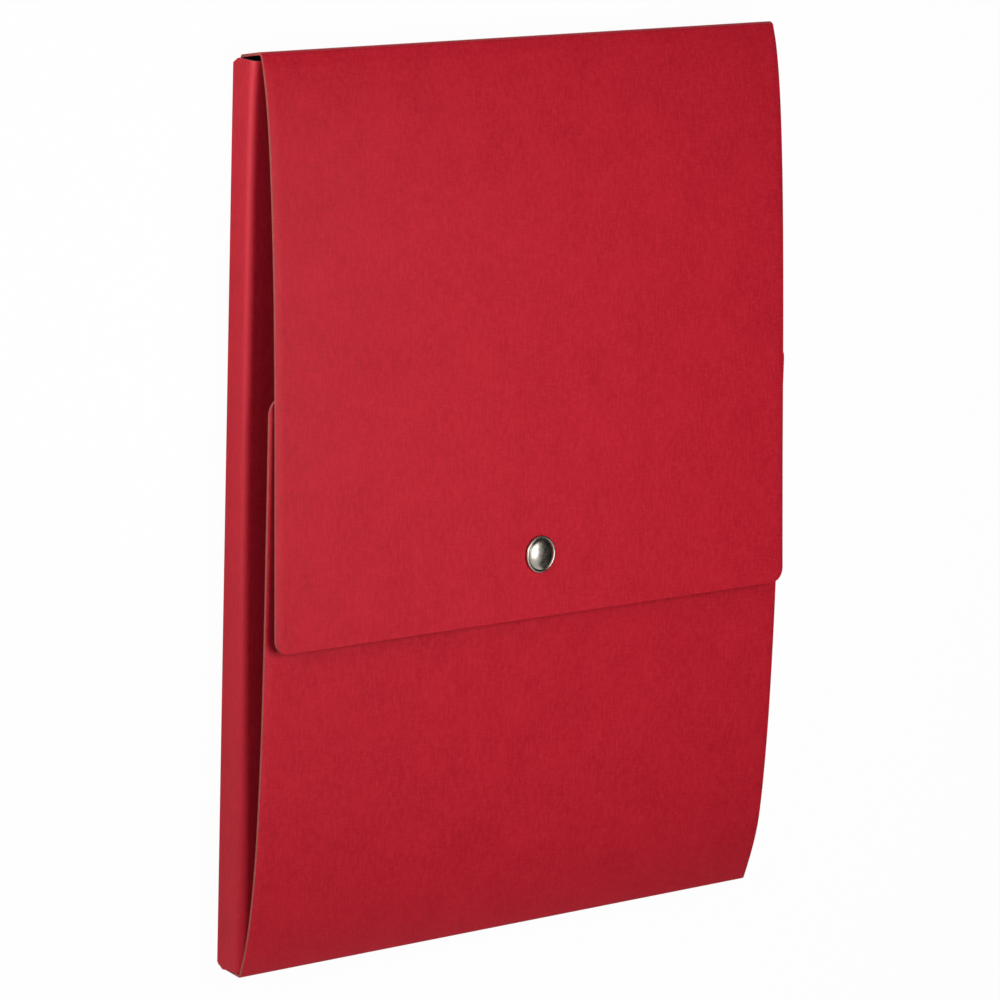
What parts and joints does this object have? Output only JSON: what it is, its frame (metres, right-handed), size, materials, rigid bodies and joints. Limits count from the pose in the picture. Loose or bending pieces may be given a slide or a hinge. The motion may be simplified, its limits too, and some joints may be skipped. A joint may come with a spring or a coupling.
{
  "type": "snap closure portfolio",
  "caption": "Shallow document case folded from one creased board, with a front panel, folded-in side flaps and a long closing flap held by a domed press stud.",
  "frame": {"origin": "on the back panel's outer face, under the middle of the case's overall length and width", "axes": "the case lies on its back: +X to the right across its width, +Y towards the top fold, +Z out of its front"},
  "size_m": [0.2286, 0.3068, 0.0297],
  "materials": {
    "red_board": "fine matt red cover paper on solid fibre board",
    "nickel": "smooth nickel plate",
    "spring_wire": "bright spring wire"
  },
  "bodies": {
    "root": {"folded_board": "red_board", "snap_stud": "nickel", "snap_eyelet": "nickel"},
    "top_fold": {"top_gusset": "red_board"},
    "flap": {"closing_flap": "red_board", "snap_cap": "nickel", "snap_cap_post": "nickel", "snap_socket": "nickel", "snap_socket_spring": "spring_wire"}
  },
  "joints": [
    {"name": "gusset_hinge", "type": "hinge", "parent": "root", "child": "top_fold", "pos_m": [0, 0.15141, 0], "axis": [-1, 0, 0], "range_deg": [0, 80]},
    {"name": "flap_hinge", "type": "hinge", "parent": "top_fold", "child": "flap", "pos_m": [0, 0.15365, 0.01372], "axis": [-1, 0, 0], "range_deg": [0, 90]}
  ]
}
